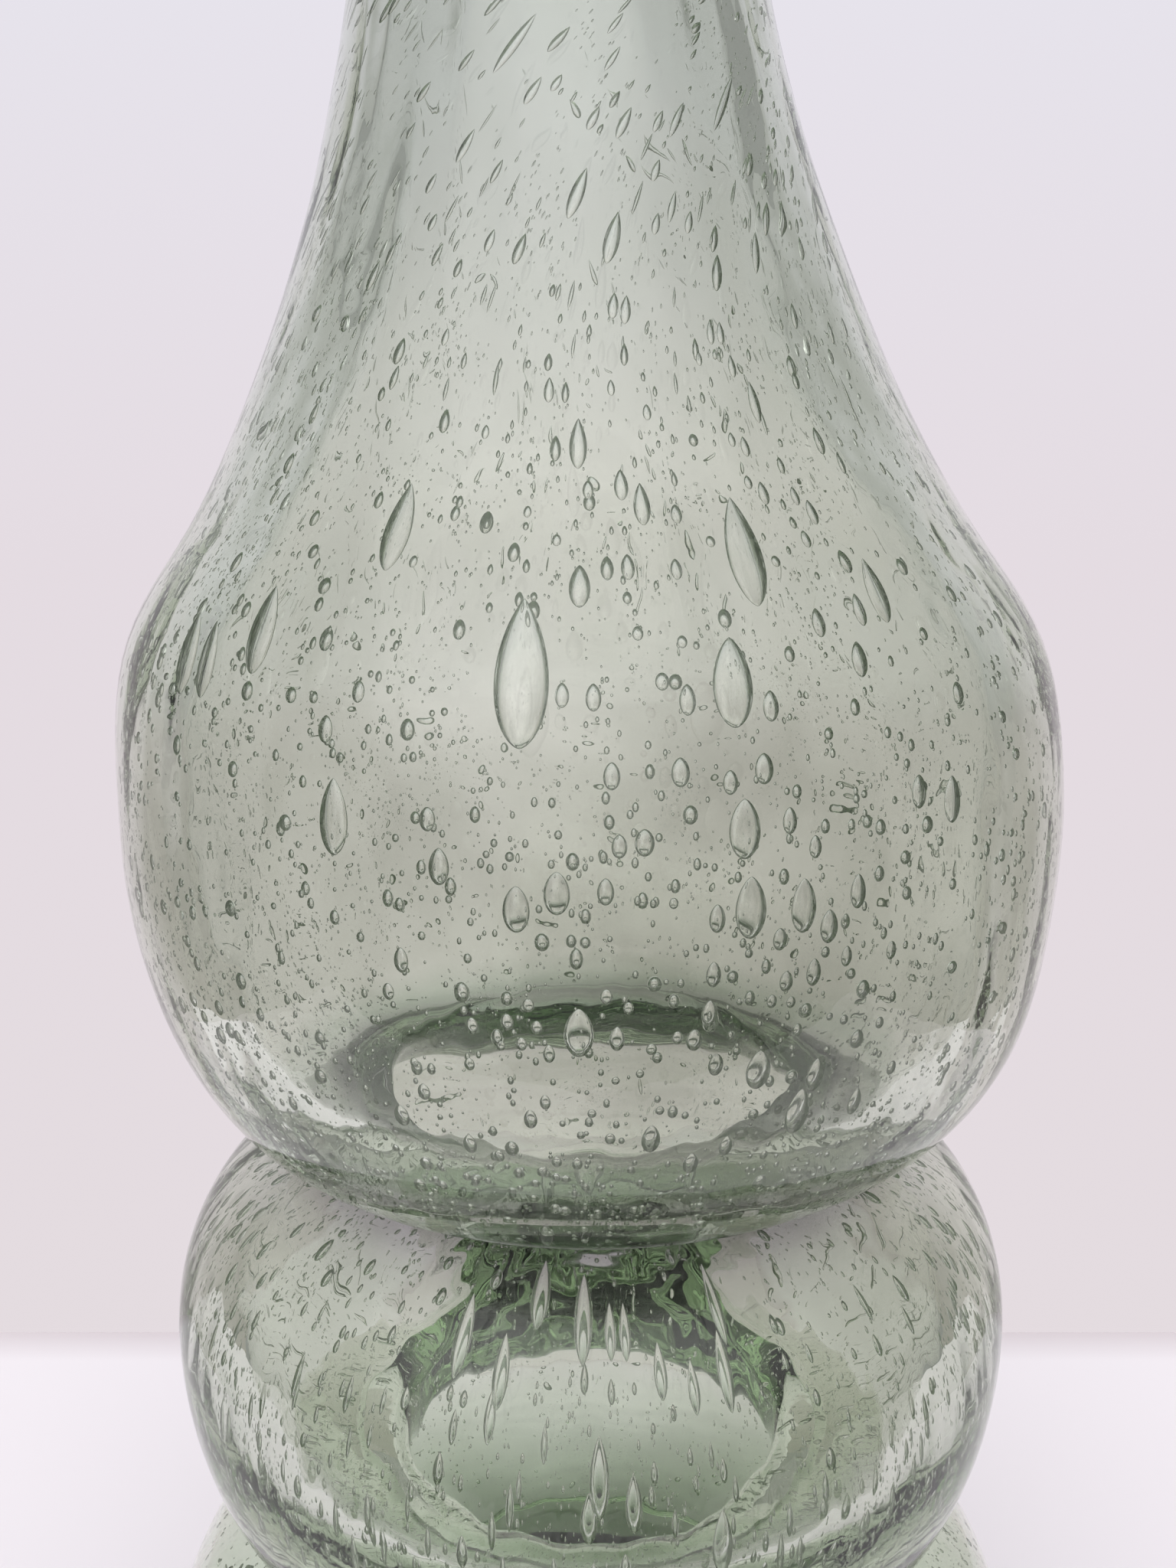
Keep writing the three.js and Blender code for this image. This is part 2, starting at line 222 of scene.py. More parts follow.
# The stage in metres: half width, front and back of the board, half width, half height and distance from the
# camera of the backdrop, and the lamp overhead, with its power in watts.
BOARD_HALF_WIDTH = 0.17
BOARD_FRONT = -0.105
BOARD_BACK = 0.082
BACKDROP_HALF_WIDTH = 1.0
BACKDROP_HALF_HEIGHT = 0.6
BACKDROP_AWAY = 0.45
LAMP_POWER = 4.4
LAMP_SIZE = 1.0
LAMP_HEIGHT = 0.9

# Colours of the board from its middle to the back, and of the backdrop's glow over a span in metres up it,
# which its sides multiply from left to right, dimmer at the sides. Both are matt, and the backdrop is a panel
# of light.
# The board is pale, with a painted shadow line where it darkens along its far edge.
BOARD_COLOUR_AND_EDGE_SHADE = [(0, (0.81, 0.77, 0.81)), (0.91, (0.81, 0.77, 0.81)), (1, (0.65, 0.59, 0.62))]
BACKDROP_SPAN = (-0.3, 0.3)
BACKDROP_SHADES = [(0, (0.77, 0.71, 0.735)), (0.633, (0.775, 0.71, 0.755)), (1, (0.79, 0.765, 0.83))]
BACKDROP_SIDES = [
    (0, (0.57, 0.58, 0.53)),
    (0.2, (0.69, 0.705, 0.655)),
    (0.375, CLEAR),
    (0.62, CLEAR),
    (0.8, (0.66, 0.675, 0.625)),
    (1, (0.55, 0.56, 0.51)),
]
MATT_ROUGHNESS = 0.9
MATT_SPECULAR = 0.1

# The room's light away from the window and in it, the way to the window, and how squarely a ray has to face
# it for the light to start and to be full.
ROOM_SHADES = [(0, grey(0.36)), (1, grey(1.75))]
WINDOW_WAY = (-0.1, -0.76, 0.64)
WINDOW_SPAN = (0.58, 0.95)

# Noise in the glass: features a metre and detail of the streaks, the smoky clouds with their painted shade,
# the cords and the film on the bubbles. Streaks and cords are drawn out upright, the clouds are shifted, and
# the cords have a depth.
STREAK_NOISE = (140.0, 3.0)
SMOKE_AND_SHADE_NOISE = (42.0, 4.0)
CORD_NOISE = (320.0, 1.0)
FILM_NOISE = (900.0, 2.0)
DRAWN_SCALE = (1.0, 1.0, 0.55)
SMOKE_AND_SHADE_SHIFT = (0.03, 0.0, 0.0)
CORD_DEPTH = 0.00008

# Colours of streaks, clouds and film by the noise's value. The clouds are smoky glass and painted shade,
# strongest at the middle heights. Heights are shares of the whole height.
STREAKS = [(0.3, (0.924, 0.955, 0.896)), (0.6, (0.976, 1.0, 0.955))]
SMOKE_AND_SHADE = [(0.36, (0.7, 0.7, 0.675)), (0.62, (0.965, 0.965, 0.955))]
SMOKE_AND_SHADE_HEIGHTS = [
    (0.2, grey(0)),
    (0.25, grey(0.6)),
    (0.4, grey(1)),
    (0.5, grey(1)),
    (0.62, grey(0.15)),
    (0.8, grey(0.3)),
]
FILM = [(0.3, (0.98, 0.985, 0.98)), (0.5, CLEAR)]

# Tints by height: greener at the foot, painted shade at the upper crease between the bulbs, a little grey in
# the neck.
HEIGHT_TINTS_AND_SHADE = [
    (0.03, (0.84, 1.0, 0.81)),
    (0.125, CLEAR),
    (0.355, CLEAR),
    (0.369, (0.85, 0.83, 0.86)),
    (0.38, (0.53, 0.63, 0.55)),
    (0.394, CLEAR),
    (0.62, CLEAR),
    (0.75, (0.9, 0.9, 0.91)),
]

# Painted shade on the hole's rim and at the crease, by distance from the axis as shares of the upper bulb's
# radius, and the heights that have them. One more is painted shade, darker towards the right, and one tints
# with the light's path.
RING_SHADE = [(0.4, CLEAR), (0.45, (0.37, 0.42, 0.36)), (0.59, (0.37, 0.42, 0.36)), (0.65, CLEAR)]
RING_SHADE_HEIGHTS = [(0.366, grey(0)), (0.378, grey(1)), (0.4, grey(1)), (0.412, grey(0))]
CREASE_SHADE = [(0.64, (0.6, 0.54, 0.64)), (0.73, CLEAR)]
CREASE_SHADE_HEIGHTS = [(0.335, grey(0)), (0.358, grey(1)), (0.372, grey(1)), (0.382, grey(0))]
# Painted shade, darker towards the right side.
SIDE_SHADE = [(0.4, CLEAR), (0.75, (0.96, 0.96, 0.95)), (1, (0.975, 0.975, 0.965))]
TINT = (0.712, 0.778, 0.668)
TINT_DENSITY = 46.0

# Bubbles too small or too many to tell apart: how many of each kind, their widths in millimetres, the rings
# and sides of their meshes, and how many times longer the threads are drawn. Uniform widths have a least and
# a most, the others a usual width, the spread of its logarithm, a least and a most.
MEDIUM_BUBBLES = 800
MEDIUM_WIDTHS = (0.55, 0.95)
MEDIUM_GRID = (7, 10)
NECK_THREADS = 280
NECK_THREAD_WIDTHS = (0.2, 0.42)
NECK_THREAD_GRID = (9, 6)
NECK_THREAD_STRETCH = 2.6
MIDDLE_THREADS = 300
MIDDLE_THREAD_HEIGHTS = (LOWER_CREASE_Z + 2, UPPER_CREASE_Z - 2)
MIDDLE_THREAD_WIDTHS = (0.35, 0.7)
MIDDLE_THREAD_GRID = (9, 8)
MIDDLE_THREAD_STRETCH = 1.7
LOW_BUBBLES = 800
LOW_HEIGHTS = (UPPER_CREASE_Z + 1, UPPER_EQUATOR_Z + 10)
LOW_WIDTHS = (0.38, 0.3, 0.2, 0.7)
LOW_GRID = (5, 8)
SMALL_BUBBLES = 10000
SMALL_PIECES = 5
SMALL_WIDTHS = (0.25, 0.42, 0.14, 0.65)
SMALL_GRID = (4, 7)

# Seeds, the finest bubbles: they lie about the middles of streaks, spread along and round the glass by bell
# curves (millimetres, radians), and stop a few profile points short of the lip.
SEED_STREAKS = 600
SEEDS = 26000
SEED_PIECES = 4
SEED_WIDTHS = (0.08, 0.17)
SEED_GRID = (2, 5)
STREAK_LENGTH = 3.5
STREAK_TURN = 0.05
LIP_POINTS = 12

# Where bubbles lie: clear of both faces, with some room to spare, not in thin glass and not too deep.
OUTER_MARGIN = 0.2
INNER_MARGIN = 0.6
SPARE_ROOM = 0.1
THIN_GLASS = 2.2
DEEPEST = 6.0
DEPTH_SHARES = (0.7, 1.0)

# How many stay: a share at the sides, more in front and fewer behind by the same step, and fewer again in
# front and behind in the neck, from the twist's start over a rise.
SIDE_SHARE = 0.64
BACK_STEP = 0.36
NECK_FRONT_SPARSE = 0.5
NECK_BACK_SPARSE = 0.75
SPARSE_RISE = 20.0

# How the glass was drawn: the pull over the neck's heights and about the middle of the middle bulb, the
# bubbles' length as a multiple of their width, and how the pull narrows them.
NECK_PULL = 1.6
NECK_PULL_HEIGHTS = (112, 142)
MIDDLE_PULL = 1.1
MIDDLE_PULL_REACH = 17.0
MIDDLE_PULL_POWER = 0.4
SHORTEST = 1.05
LENGTH_SPREAD = 0.5
PULL_SPREAD = (0.5, 2.2)
PULL_NARROWING = 0.6

# Shape of a bubble's ends: the power of a round end, how much sharper an end gets for each width of length,
# and the sharpest. Seen bubbles lie just under the outside, and broad ones are flatter.
ROUND_END = 0.5
FOOT_SHARPENING = 0.06
TOP_SHARPENING = 0.2
SHARPEST_FOOT = 0.75
SHARPEST_TOP = 0.9
SEEN_GRID = (21, 20)
SEEN_BELOW = 0.25
BROAD_WIDTH = 1.2
BROAD_FLATNESS = 0.32
NARROW_FLATNESS = 0.5

# Lines of sight are followed between these distances from the camera, in this many steps.
SIGHT_REACH = (40, 150)
SIGHT_STEPS = 2200


def grown(value, start, end):
    """Share that grows evenly from 0 at the start to 1 at the end."""
    return np.clip((value - start) / (end - start), 0, 1)


# Profile of the glass

def half_bulb(radius, equator_z, end_radius, end_z, fullness):
    """Half of a bulb's outside: an arc of an ellipse, upright at the widest ring and ending at the crease."""
    across = fullness * (radius - end_radius)
    turn = math.acos(1 - 1 / fullness)
    angle = np.linspace(0, turn, CURVE_POINTS)
    up = (end_z - equator_z) / math.sin(turn)
    return np.stack([radius - across + across * np.cos(angle), equator_z + up * np.sin(angle)], axis=1)


def sweep(start, leave, arrive, end):
    """Cubic curve from start to end that leaves along one handle and arrives along the other."""
    t = np.linspace(0, 1, CURVE_POINTS)[:, None]
    start, end = np.array(start, float), np.array(end, float)
    near, far = start + np.array(leave), end - np.array(arrive)
    return (1 - t) ** 3 * start + 3 * t * (1 - t) ** 2 * near + 3 * t ** 2 * (1 - t) * far + t ** 3 * end


def cavity_side(wide_radius, wide_z, hole_radius, hole_z, runs):
    """Side of a hollow between its widest ring and a hole: a cubic curve, upright at both ends."""
    rise = hole_z - wide_z
    wall_run, edge_run = runs
    return sweep((wide_radius, wide_z), (0, wall_run * rise), (0, edge_run * rise), (hole_radius, hole_z))


def shoulder_and_neck(wall, shoulder_wall, neck_wall):
    """Shoulder and neck up to the throat: two cubic curves that share a slope, set in by the wall."""
    slope = np.array([-math.sin(SHOULDER_SLOPE), math.cos(SHOULDER_SLOPE)])
    widest = (UPPER_RADIUS - wall, UPPER_EQUATOR_Z)
    inset = shoulder_wall * np.array([math.cos(SHOULDER_SLOPE), math.sin(SHOULDER_SLOPE)])
    shoulder = np.array([SHOULDER_RADIUS, SHOULDER_Z]) - inset
    throat = (THROAT_RADIUS - neck_wall, THROAT_Z)
    bulb_rise = shoulder[1] - UPPER_EQUATOR_Z
    neck_rise = THROAT_Z - shoulder[1]
    bulb = sweep(widest, (0, BULB_RUN * bulb_rise), SHOULDER_RUN * bulb_rise * slope, shoulder)
    neck = sweep(shoulder, NECK_START_RUN * neck_rise * slope, (0, NECK_END_RUN * neck_rise), throat)
    return np.concatenate([bulb, neck])


def neck_flare(wall):
    """Top of the neck: a cubic curve from the upright throat to the slightly open end."""
    rise = NECK_TOP - THROAT_Z
    flare = 2 * (NECK_TOP_RADIUS - THROAT_RADIUS) / rise
    start = (THROAT_RADIUS - wall, THROAT_Z)
    end = (NECK_TOP_RADIUS - wall, NECK_TOP)
    return sweep(start, (0, rise / 3), (flare * rise / 3, rise / 3), end)


def foot_outside():
    """Underside of the foot from the axis out: a shallow bowl, a flat ring and a rounded edge."""
    bowl = (PONTIL_RADIUS ** 2 + PONTIL_DEPTH ** 2) / (2 * PONTIL_DEPTH)
    across = np.linspace(0, PONTIL_RADIUS, CURVE_POINTS)
    hollow = np.stack([across, PONTIL_DEPTH - bowl + np.sqrt(bowl ** 2 - across ** 2)], axis=1)
    half = FOOT_TOP / 2
    angle = np.linspace(-math.pi / 2, math.pi / 2, CURVE_POINTS)
    inset = np.where(angle < 0, half, FOOT_RADIUS - SEAT_RADIUS)
    edge = np.stack([FOOT_RADIUS - inset + inset * np.cos(angle), half + half * np.sin(angle)], axis=1)
    return np.concatenate([hollow, edge])


def lip_outside():
    """Rounded lip: half an ellipse over the top of the neck's wall."""
    mouth = NECK_TOP_RADIUS - NECK_WALL
    middle = (LIP_RADIUS + mouth) / 2
    half = (HEIGHT - NECK_TOP) / 2
    angle = np.linspace(0, math.pi, CURVE_POINTS)
    return np.stack([
        middle + (LIP_RADIUS - middle) * np.cos(angle),
        NECK_TOP + half + half * np.sin(angle),
    ], axis=1)


def glass_profile():
    """The whole glass from the axis under the foot, up outside, over the lip and down to the floor."""
    base_wide = BASE_RADIUS - WALL
    base_wide_z = BASE_EQUATOR_Z + BASE_HOLLOW_RISE
    middle_wide = MIDDLE_RADIUS - WALL
    upper_wide = UPPER_RADIUS - WALL
    upper_rim = UPPER_CREASE_Z + UPPER_RIM_RISE
    lower_rim = LOWER_CREASE_Z + LOWER_RIM_RISE
    floor_top = FOOT_TOP + FLOOR_THICKNESS
    lower_crease = (LOWER_CREASE_RADIUS, LOWER_CREASE_Z)
    upper_crease = (UPPER_CREASE_RADIUS, UPPER_CREASE_Z)
    floor = sweep(
        (base_wide, base_wide_z),
        (0, FLOOR_RUN * (floor_top - base_wide_z)),
        (-FLOOR_RUN * base_wide, FLOOR_KICK),
        (0, floor_top + FLOOR_KICK),
    )
    return np.concatenate([
        foot_outside(),
        half_bulb(BASE_RADIUS, BASE_EQUATOR_Z, SEAT_RADIUS, FOOT_TOP, BASE_BOTTOM_FULLNESS)[::-1],
        half_bulb(BASE_RADIUS, BASE_EQUATOR_Z, *lower_crease, BASE_TOP_FULLNESS),
        half_bulb(MIDDLE_RADIUS, MIDDLE_EQUATOR_Z, *lower_crease, MIDDLE_BOTTOM_FULLNESS)[::-1],
        half_bulb(MIDDLE_RADIUS, MIDDLE_EQUATOR_Z, *upper_crease, MIDDLE_TOP_FULLNESS),
        half_bulb(UPPER_RADIUS, UPPER_EQUATOR_Z, *upper_crease, UPPER_BOTTOM_FULLNESS)[::-1],
        shoulder_and_neck(0, 0, 0),
        neck_flare(0),
        lip_outside(),
        neck_flare(NECK_WALL)[::-1],
        shoulder_and_neck(WALL, SHOULDER_WALL, NECK_WALL)[::-1],
        cavity_side(upper_wide, UPPER_EQUATOR_Z, UPPER_HOLE_RADIUS, upper_rim, UPPER_FLOOR_RUNS),
        cavity_side(middle_wide, MIDDLE_EQUATOR_Z, UPPER_HOLE_RADIUS, UPPER_CREASE_Z, MIDDLE_ROOF_RUNS)[::-1],
        cavity_side(middle_wide, MIDDLE_EQUATOR_Z, LOWER_HOLE_RADIUS, lower_rim, MIDDLE_FLOOR_RUNS),
        cavity_side(base_wide, base_wide_z, LOWER_HOLE_RADIUS, LOWER_CREASE_Z, BASE_ROOF_RUNS)[::-1],
        floor,
    ])


def along(points):
    """Length along a line of points, from its start to each point."""
    return np.concatenate([[0], np.cumsum(np.linalg.norm(np.diff(points, axis=0), axis=1))])


def at_lengths(points, lengths):
    """Points at given lengths along a line."""
    run = along(points)
    return np.stack([np.interp(lengths, run, points[:, 0]), np.interp(lengths, run, points[:, 1])], axis=1)


def rounded(profile, spread):
    """Profile at even steps, averaged along itself by a bell curve of the given width.

    The line is carried on past the axis by its mirror image, so that it stays level there.
    """
    step = spread / ROUNDING_STEPS
    even = at_lengths(profile, np.arange(0, along(profile)[-1], step))
    reach = ROUNDING_REACH
    mirror = np.array([-1.0, 1.0])
    long = np.concatenate([even[reach:0:-1] * mirror, even, even[-2:-reach - 2:-1] * mirror])
    bell = np.exp(-0.5 * (np.arange(-reach, reach + 1) * step / spread) ** 2)
    bell /= bell.sum()
    smooth = np.stack([np.convolve(long[:, i], bell, "valid") for i in range(2)], axis=1)
    smooth[[0, -1], 0] = 0
    return smooth


def spaced(profile, count):
    """Profile with count points, closer together where it bends more in each millimetre."""
    run = along(profile)
    direction = np.unwrap(np.arctan2(np.gradient(profile[:, 1]), np.gradient(profile[:, 0])))
    bend = np.abs(np.gradient(direction)) / np.gradient(run)
    weight = 1 + BEND_WEIGHT * np.clip(bend, 0, BEND_MOST)
    even = np.concatenate([[0], np.cumsum((weight[1:] + weight[:-1]) / 2 * np.diff(run))])
    lengths = np.interp(np.linspace(0, even[-1], count), even, run)
    thin = at_lengths(profile, lengths)
    thin[[0, -1], 0] = 0
    return thin


def sideways(x, z):
    """Sideways offset: a lean by a power of the height, and a bell-shaped bulge on the right."""
    up = np.clip((z - UPPER_EQUATOR_Z) / (HEIGHT - UPPER_EQUATOR_Z), 0, None)
    level = (z - UPPER_CREASE_Z - SIDE_BULGE_RISE) / SIDE_BULGE_SPREAD
    bulge = SIDE_BULGE * (np.clip(x, 0, None) / UPPER_RADIUS) ** 2 * np.exp(-level ** 2)
    return bulge - LEAN * up ** LEAN_BEND


# Meshes

def mesh_piece(name, points, corners, sides, material):
    """Object of the given points (metres) and faces (corner indices, with each face's number of sides)."""
    mesh = bpy.data.meshes.new(name)
    mesh.vertices.add(len(points))
    mesh.vertices.foreach_set("co", np.asarray(points, np.float32).ravel())
    mesh.loops.add(len(corners))
    mesh.loops.foreach_set("vertex_index", np.asarray(corners, np.int32))
    mesh.polygons.add(len(sides))
    starts = np.concatenate([[0], np.cumsum(sides)[:-1]])
    mesh.polygons.foreach_set("loop_start", starts.astype(np.int32))
    mesh.polygons.foreach_set("use_smooth", np.ones(len(sides), bool))
    mesh.update(calc_edges=True)
    mesh.validate()
    mesh.materials.append(material)
    piece = bpy.data.objects.new(name, mesh)
    bpy.context.scene.collection.objects.link(piece)
    return piece


def glass_piece(name, points, corners, sides, material):
    """A piece of the vase: it rides on the one body and takes the material it is given."""
    piece = mesh_piece(name, points, corners, sides, material)
    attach(piece, "root")
    return piece


def revolved_faces(rings, sides):
    """Faces of a surface with a pole at each end: a fan of triangles, bands of quads, and a fan of triangles.

    Point 0 is the first pole, the rings follow in order, and the last point is the other pole.
    """
    this = np.arange(sides)
    after = (this + 1) % sides
    ring = 1 + np.arange(rings)[:, None] * sides
    last = 1 + rings * sides
    first_fan = np.stack([np.zeros(sides, int), 1 + after, 1 + this], axis=1)
    last_fan = np.stack([np.full(sides, last), ring[-1] + this, ring[-1] + after], axis=1)
    quads = np.stack([
        ring[:-1] + this,
        ring[:-1] + after,
        ring[1:] + after,
        ring[1:] + this,
    ], axis=2).reshape(-1, 4)
    corners = np.concatenate([first_fan.ravel(), quads.ravel(), last_fan.ravel()])
    counts = np.concatenate([np.full(sides, 3), np.full(len(quads), 4), np.full(sides, 3)])
    return corners, counts


def waviness(angle, z, waves, turns, climb, seed):
    """Unevenness from 0 to 1: the sum of sine waves that run round and up the glass at chance speeds."""
    chance = np.random.default_rng(seed)
    total = np.zeros(np.broadcast(angle, z).shape)
    for count in chance.integers(*turns, waves):
        rise = chance.uniform(-climb, climb) * z
        total = total + np.sin(count * angle + rise + chance.uniform(0, 2 * math.pi))
    return np.clip(0.5 + 0.5 * total / math.sqrt(waves) / WAVE_PEAK, 0, 1)


def rim_rise(r, z, angle):
    """Rise of the glass round the waist's hole: none at the crease, full at the hole, most at the back."""
    inward = grown(r, UPPER_CREASE_RADIUS, UPPER_HOLE_RADIUS)
    near = grown(np.abs(z - UPPER_CREASE_Z), RIM_REACH, 0)
    return (RIM_LIFT - RIM_TILT * np.cos(angle)) * inward * near


def glass_skin(profile, material):
    """The whole glass: the profile turned about the leaning axis, with hand-made waves in its faces."""
    inner = profile[1:-1]
    angle = np.arange(SKIN_SIDES) / SKIN_SIDES * 2 * math.pi
    r = inner[:, :1]
    z = inner[:, 1:]
    tangent = np.gradient(inner, axis=0)
    tangent /= np.linalg.norm(tangent, axis=1)[:, None]
    top = int(np.argmax(inner[:, 1]))
    inside = (np.arange(len(inner)) > top)[:, None]
    free = grown(r, *WAVE_RADII) * grown(z, *WAVE_FOOT)
    free *= LOW_WAVE_SHARE + (1 - LOW_WAVE_SHARE) * grown(z, *WAVE_WAIST)
    broad = INNER_WAVE * waviness(angle, z, *INNER_WAVES, SEED)
    cords = INNER_CORD * waviness(angle, z, *INNER_CORDS, SEED + 1)
    outer = OUTER_WAVE * waviness(angle, z, *OUTER_WAVES, SEED + 2)
    depth = np.where(inside, broad + cords, outer) * free
    radius = r - depth * tangent[:, 1:]
    height = z + depth * tangent[:, :1]
    height = height + rim_rise(r, z, angle)
    x = radius * np.sin(angle)
    x = x + sideways(x, height)
    y = -radius * np.cos(angle)
    rings = np.stack([x, y, height], axis=2).reshape(-1, 3)
    points = np.concatenate([[[0, 0, profile[0, 1]]], rings, [[0, 0, profile[-1, 1]]]]) * MM
    corners, counts = revolved_faces(len(inner), SKIN_SIDES)
    return glass_piece("glass_skin", points, corners, counts, material)


# Bubbles

class OuterWall:
    """The outside of the glass from the foot's edge to the lip, with the thickness of the glass behind it."""

    def __init__(self, profile):
        top = int(np.argmax(profile[:, 1]))
        start = int(np.argmax(profile[:, 1] > FOOT_TOP))
        outside = profile[start:top]
        gap = np.linalg.norm(outside[:, None] - profile[None, top + 1:], axis=2).min(axis=1)
        tangent = np.gradient(outside, axis=0)
        tangent /= np.linalg.norm(tangent, axis=1)[:, None]
        self.run = along(outside)
        self.table = np.column_stack([outside, tangent, gap])

    def at(self, run):
        """Radius, height, upward direction (out, up) and thickness at lengths along the outside."""
        return [np.interp(run, self.run, column) for column in self.table.T]

    def run_at_height(self, z):
        """Length along the outside at which it reaches a height."""
        return np.interp(z, self.table[:, 1], self.run)

    def frames(self, run, angle):
        """Point on the outside, and the directions round, up along and out of the glass there."""
        r, z, out, up, _ = self.at(run)
        c, s = np.cos(angle), np.sin(angle)
        point = np.stack([r * c + sideways(r * c, z), r * s, z], axis=1)
        around = np.stack([-s, c, np.zeros_like(s)], axis=1)
        rising = np.stack([out * c, out * s, up], axis=1)
        outward = np.stack([up * c, up * s, -out], axis=1)
        return point, around, rising, outward


def sight_spots(wall, pixels):
    """Where lines of sight through the given pixels first meet the outside: run, angle and direction.

    Each line is followed in small steps, and the step at which its distance from the axis falls below the
    radius of the glass at that height is the meeting point.
    """
    u = (pixels[:, 0] - PHOTO_WIDTH / 2) / FOCAL_PIXELS
    v = (PHOTO_HEIGHT / 2 - pixels[:, 1]) / FOCAL_PIXELS
    c, s = math.cos(CAMERA_PITCH), math.sin(CAMERA_PITCH)
    sight = np.stack([u, c + v * s, -s + v * c], axis=1)
    sight /= np.linalg.norm(sight, axis=1)[:, None]
    reach = np.linspace(*SIGHT_REACH, SIGHT_STEPS)
    points = np.array([CAMERA_X, CAMERA_Y, CAMERA_Z]) + sight[:, None] * reach[:, None]
    x = points[..., 0] - sideways(points[..., 0], points[..., 2])
    radius = np.interp(points[..., 2], wall.table[:, 1], wall.table[:, 0])
    meets = np.argmax(np.hypot(x, points[..., 1]) < radius, axis=1)
    rows = np.arange(len(pixels))
    angle = np.arctan2(points[rows, meets, 1], x[rows, meets])
    return wall.run_at_height(points[rows, meets, 2]), angle, sight


def twist(z):
    """Lean of a bubble from the upright line of the wall, in radians: it grows with height up the neck."""
    return np.radians(np.clip((z - TWIST_START_Z) * TWIST_RATE, 0, TWIST_MOST))


def bubble_axes(wall, run, angle):
    """Directions across, into and along a bubble in the wall, turned by the twist of the neck."""
    point, around, rising, outward = wall.frames(run, angle)
    turn = twist(point[:, 2])[:, None]
    across = around * np.cos(turn) - rising * np.sin(turn)
    long = rising * np.cos(turn) + around * np.sin(turn)
    return across, -outward, long


def bubbles(name, centres, axes, sizes, ends, rings, sides, material):
    """Closed hollows: the half width is a power of the distance from the foot times one from the top.

    Two powers of one half make an ellipsoid, and a larger power draws that end out to a point.
    """
    across, into, long = axes
    length, width, depth = (size[:, None, None] / 2 for size in sizes.T)
    way = -np.cos(np.arange(1, rings + 1) / (rings + 1) * math.pi)
    foot, top = (end[:, None] for end in ends.T)
    widest = (2 * foot / (foot + top)) ** foot * (2 * top / (foot + top)) ** top
    half = (1 + way) ** foot * (1 - way) ** top / widest
    round_angle = np.arange(sides) / sides * 2 * math.pi
    spread = half[:, :, None] * np.cos(round_angle)
    thick = half[:, :, None] * np.sin(round_angle)
    stretch = np.broadcast_to(way[None, :, None], spread.shape)
    body = centres[:, None, None] + (
        (length * stretch)[..., None] * long[:, None, None]
        + (width * spread)[..., None] * across[:, None, None]
        + (depth * thick)[..., None] * into[:, None, None]
    )
    tip = long * sizes[:, :1] / 2
    points = np.concatenate([
        (centres - tip)[:, None],
        body.reshape(len(centres), -1, 3),
        (centres + tip)[:, None],
    ], axis=1)
    corners, counts = revolved_faces(rings, sides)
    first = np.arange(len(centres))[:, None] * points.shape[1]
    return glass_piece(name, points.reshape(-1, 3) * MM, (corners + first).ravel(),
                       np.tile(counts, len(centres)), material)


def bubble_ends(longer):
    """Powers for the foot and top of bubbles: long ones are sharper, most of all at the top."""
    foot = np.clip(ROUND_END + FOOT_SHARPENING * (longer - 1), ROUND_END, SHARPEST_FOOT)
    top = np.clip(ROUND_END + TOP_SHARPENING * (longer - 1), ROUND_END, SHARPEST_TOP)
    return np.stack([foot, top], axis=1)


def seen_bubbles(wall, material):
    """Bubbles told apart in the photograph, under the outside along lines of sight bent by the glass."""
    rows = np.array(SEEN_BUBBLES)
    run, angle, sight = sight_spots(wall, rows[:, :2])
    thickness = wall.at(run)[4]
    point, _, _, outward = wall.frames(run, angle)
    length, width = rows[:, 2], rows[:, 3]
    flatness = np.where(width > BROAD_WIDTH, BROAD_FLATNESS, NARROW_FLATNESS)
    depth = np.minimum(width * flatness, thickness - OUTER_MARGIN - INNER_MARGIN)
    facing = -(sight * outward).sum(axis=1)
    bent = sight / GLASS_IOR
    bent += (facing / GLASS_IOR - np.sqrt(1 - (1 - facing ** 2) / GLASS_IOR ** 2))[:, None] * outward
    below = OUTER_MARGIN + SEEN_BELOW + depth / 2
    centres = point + bent * (below / -(bent * outward).sum(axis=1))[:, None]
    x = centres[:, 0] - sideways(centres[:, 0], centres[:, 2])
    around = np.arctan2(centres[:, 1], x)
    axes = bubble_axes(wall, wall.run_at_height(centres[:, 2]), around)
    sizes = np.stack([length, width, depth], axis=1)
    bubbles("seen_bubbles", centres, axes, sizes, bubble_ends(length / width), *SEEN_GRID, material)
    return centres, length


def scattered(wall, count, chance, low=0.0, high=HEIGHT):
    """Places spread over the outside, fewer at the back: length along it and angle round the axis."""
    r, z, _, _, thickness = wall.table.T
    share = np.cumsum(r * np.gradient(wall.run) * (thickness > THIN_GLASS) * (z > low) * (z < high))
    run = np.interp(chance.uniform(0, share[-1], 2 * count), share, wall.run)
    angle = chance.uniform(0, 2 * math.pi, 2 * count)
    drawn_thin = grown(wall.at(run)[1], TWIST_START_Z, TWIST_START_Z + SPARSE_RISE)
    back = np.sin(angle)
    sparse = np.where(back < 0, -NECK_FRONT_SPARSE * back, NECK_BACK_SPARSE * back)
    kept = chance.uniform(size=2 * count) < (SIDE_SHARE - BACK_STEP * back) * (1 - sparse * drawn_thin)
    return run[kept][:count], angle[kept][:count]


def drawn_out(z, chance):
    """How many times longer than wide a bubble is at a height, and how its width shrinks by the pull."""
    off_middle = np.abs(z - (LOWER_CREASE_Z + UPPER_CREASE_Z) / 2)
    neck = NECK_PULL * grown(z, *NECK_PULL_HEIGHTS)
    middle = MIDDLE_PULL * grown(off_middle, MIDDLE_PULL_REACH, 0) ** MIDDLE_PULL_POWER
    pull = np.maximum(neck, middle)
    longer = SHORTEST + chance.uniform(0, LENGTH_SPREAD, len(z)) + pull * chance.uniform(*PULL_SPREAD, len(z))
    return longer, 1 / np.sqrt(1 + PULL_NARROWING * pull)


